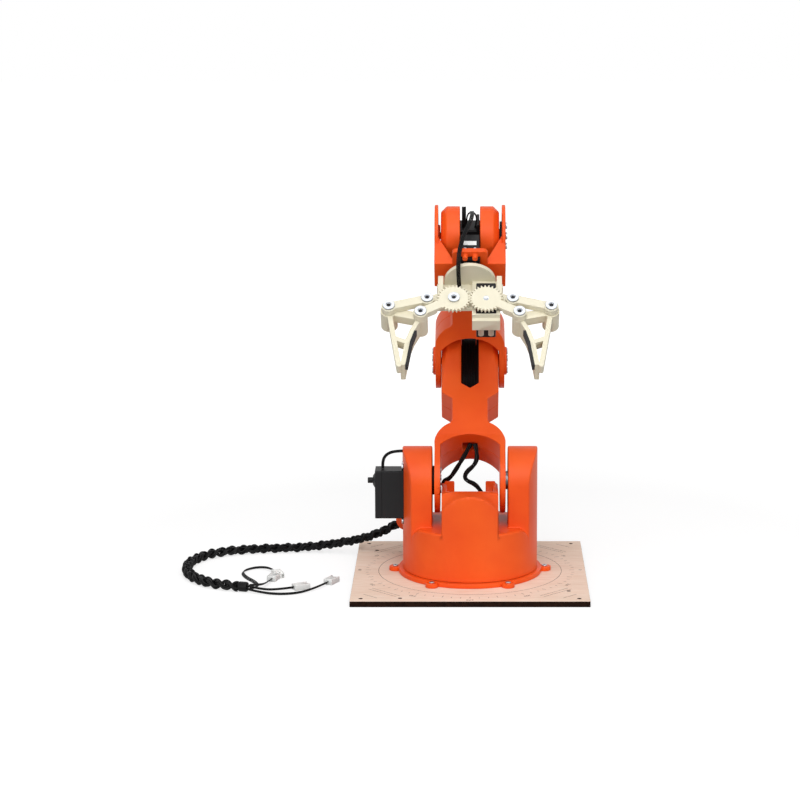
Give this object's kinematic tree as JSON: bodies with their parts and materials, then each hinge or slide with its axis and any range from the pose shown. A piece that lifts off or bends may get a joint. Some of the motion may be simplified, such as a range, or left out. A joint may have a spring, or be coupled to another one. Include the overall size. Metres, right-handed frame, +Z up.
{
  "type": "robot arm",
  "caption": "Desktop robot arm on a square wooden plate: turning turret, forked links, tilting and rolling wrist, and a gripper with geared fingers, driven by hobby servos.",
  "frame": {"origin": "centre of the plate's underside, on the axis about which the turret turns", "axes": "+Z up, +X to the right of someone who faces the gripper, +Y away from them"},
  "size_m": [0.3513, 0.2139, 0.3175],
  "materials": {
    "wood_plate": "smooth, laser engraved",
    "orange_plastic": "satin moulded",
    "ivory_plastic": "satin moulded",
    "black_plastic": "fine grain",
    "steel": "zinc plated",
    "pad_rubber": "matt",
    "black_lead": "satin insulation",
    "white_plastic": "moulded"
  },
  "bodies": {
    "base": {"base_plate": "wood_plate", "base_ring": "orange_plastic", "base_ring_screws": "steel", "yaw_servo_case": "black_plastic", "yaw_servo_lid": "black_plastic", "yaw_servo_screws": "steel", "cable_gland": "orange_plastic", "cable_braid": "black_lead", "cable_tie": "black_lead", "loose_leads": "black_lead", "lead_plugs": "white_plastic"},
    "turret": {"turret_shell": "orange_plastic", "yaw_horn": "black_plastic", "yaw_horn_screws": "steel", "shoulder_servo_case": "black_plastic", "shoulder_servo_lid": "black_plastic", "shoulder_servo_screws": "steel", "shoulder_pin": "steel", "shoulder_lead": "black_lead", "arm_leads": "black_lead"},
    "upper_arm": {"upper_arm_front": "orange_plastic", "upper_arm_back": "orange_plastic", "upper_arm_screws": "steel", "shoulder_horn": "black_plastic", "shoulder_horn_screws": "steel", "elbow_servo_case": "black_plastic", "elbow_servo_lid": "black_plastic"},
    "forearm": {"forearm_front": "orange_plastic", "forearm_back": "orange_plastic", "forearm_screws": "steel", "elbow_discs": "orange_plastic", "elbow_disc_screws": "steel", "wrist_servo_case": "black_plastic", "wrist_servo_lid": "black_plastic"},
    "hand": {"hand_bracket": "orange_plastic", "wrist_horn": "black_plastic", "wrist_horn_screws": "steel", "roll_servo_case": "black_plastic", "roll_servo_lid": "black_plastic", "roll_servo_screws": "steel", "wrist_lead": "black_lead"},
    "palm": {"roll_flange": "ivory_plastic", "palm_frame": "ivory_plastic", "gripper_servo_case": "black_plastic", "gripper_servo_lid": "black_plastic", "palm_pivot_screws": "steel"},
    "right_gear": {"right_gear_arm": "ivory_plastic", "gripper_shaft": "steel"},
    "left_gear": {"left_gear_arm": "ivory_plastic"},
    "right_outer_link": {"right_link": "ivory_plastic", "right_link_screw": "steel"},
    "left_outer_link": {"left_link": "ivory_plastic", "left_link_screw": "steel"},
    "right_finger_body": {"right_finger": "ivory_plastic", "right_pad": "pad_rubber", "right_finger_screw": "steel"},
    "left_finger_body": {"left_finger": "ivory_plastic", "left_pad": "pad_rubber", "left_finger_screw": "steel"}
  },
  "joints": [
    {"name": "yaw", "type": "hinge", "parent": "base", "child": "turret", "pos_m": [0, 0, 0.0475], "axis": [0, 0, 1], "range_deg": [-90, 90]},
    {"name": "shoulder", "type": "hinge", "parent": "turret", "child": "upper_arm", "pos_m": [0, 0, 0.085], "axis": [1, 0, 0], "range_deg": [-30, 80], "deforming": ["arm_leads"]},
    {"name": "elbow", "type": "hinge", "parent": "upper_arm", "child": "forearm", "pos_m": [0, 0.08839, 0.17339], "axis": [-1, 0, 0], "range_deg": [-25, 155]},
    {"name": "wrist", "type": "hinge", "parent": "forearm", "child": "hand", "pos_m": [0, 0.04564, 0.29085], "axis": [1, 0, 0], "range_deg": [-170, 10], "deforming": ["wrist_lead"]},
    {"name": "roll", "type": "hinge", "parent": "hand", "child": "palm", "pos_m": [0, 0.04564, 0.29085], "axis": [0, -0.766, -0.6428], "range_deg": [-90, 90]},
    {"name": "gripper", "type": "hinge", "parent": "palm", "child": "right_gear", "pos_m": [0.0135, -0.03449, 0.24711], "axis": [0, 0.6428, -0.766], "range_deg": [0, 64]},
    {"name": "left_gear_turn", "type": "hinge", "parent": "palm", "child": "left_gear", "pos_m": [-0.0135, -0.03449, 0.24711], "axis": [0, 0.6428, -0.766], "range_deg": [-64.5, 0.5]},
    {"name": "right_link_turn", "type": "hinge", "parent": "palm", "child": "right_outer_link", "pos_m": [0.0358, -0.03449, 0.24711], "axis": [0, 0.6428, -0.766], "range_deg": [-0.5, 70.3]},
    {"name": "left_link_turn", "type": "hinge", "parent": "palm", "child": "left_outer_link", "pos_m": [-0.0358, -0.03449, 0.24711], "axis": [0, 0.6428, -0.766], "range_deg": [-70.3, 0.5]},
    {"name": "right_finger_turn", "type": "hinge", "parent": "right_gear", "child": "right_finger_body", "pos_m": [0.0412, -0.04599, 0.23747], "axis": [0, 0.6428, -0.766], "range_deg": [-44, 0.5]},
    {"name": "left_finger_turn", "type": "hinge", "parent": "left_gear", "child": "left_finger_body", "pos_m": [-0.0412, -0.04599, 0.23747], "axis": [0, 0.6428, -0.766], "range_deg": [-0.5, 44]}
  ],
  "couplings": [
    {"joint": "left_gear_turn", "follows": "gripper", "ratio": -1},
    {"joint": "right_link_turn", "follows": "gripper", "ratio": 1.09},
    {"joint": "left_link_turn", "follows": "gripper", "ratio": -1.09},
    {"joint": "right_finger_turn", "follows": "gripper", "ratio": -0.68},
    {"joint": "left_finger_turn", "follows": "gripper", "ratio": 0.68}
  ]
}
